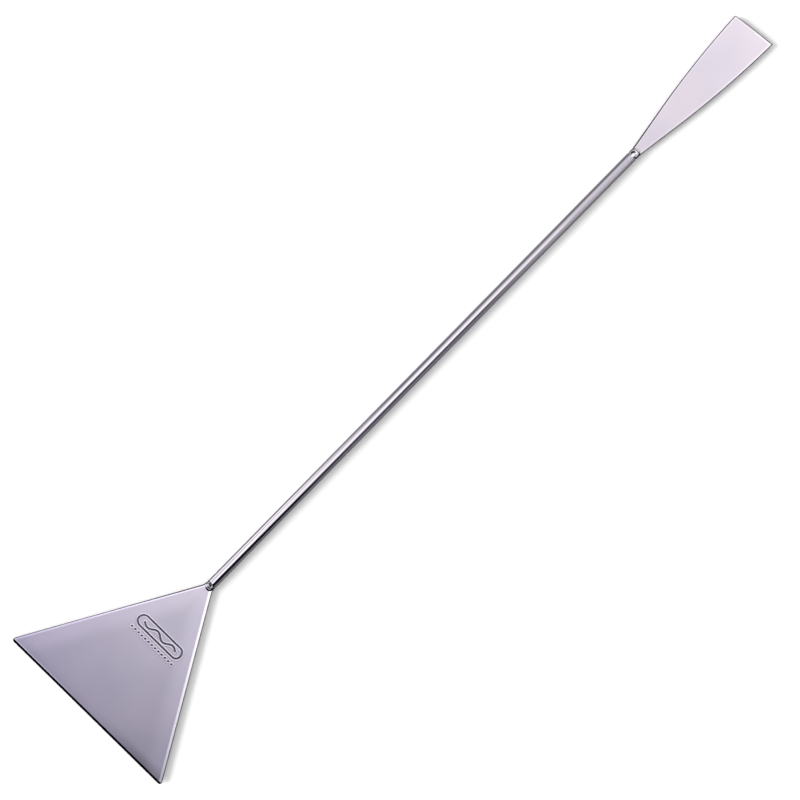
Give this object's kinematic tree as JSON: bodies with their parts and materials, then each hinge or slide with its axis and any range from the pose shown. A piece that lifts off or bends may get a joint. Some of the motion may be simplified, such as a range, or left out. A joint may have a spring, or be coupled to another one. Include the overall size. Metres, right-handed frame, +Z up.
{
  "type": "sculpting spatula",
  "caption": "Long double-ended steel hand tool: a flat triangular levelling blade and a small flared spatula, butt-welded to the ends of a straight round rod.",
  "frame": {"origin": "middle of the tool's footprint, on the surface that it lies on, straight under the rod", "axes": "+X along the rod from the triangular blade to the small spatula, +Z up out of the blades' marked faces"},
  "size_m": [0.46, 0.0998, 0.005],
  "materials": {
    "blade_steel": "satin rolled stainless sheet, faintly lilac grey, with soft cloudiness and a brighter worn rim",
    "rod_steel": "bright drawn stainless bar, nearly polished, with faint lines along its length",
    "spatula_steel": "satin rolled stainless sheet, faintly pinkish grey",
    "weld_steel": "bright rippled stainless weld metal, slightly darkened in its hollows"
  },
  "bodies": {
    "root": {"triangular_blade": "blade_steel", "rod": "rod_steel", "spatula_blade": "spatula_steel", "blade_weld_upper": "weld_steel", "blade_weld_lower": "weld_steel", "spatula_weld_upper": "weld_steel", "spatula_weld_lower": "weld_steel"}
  },
  "joints": []
}
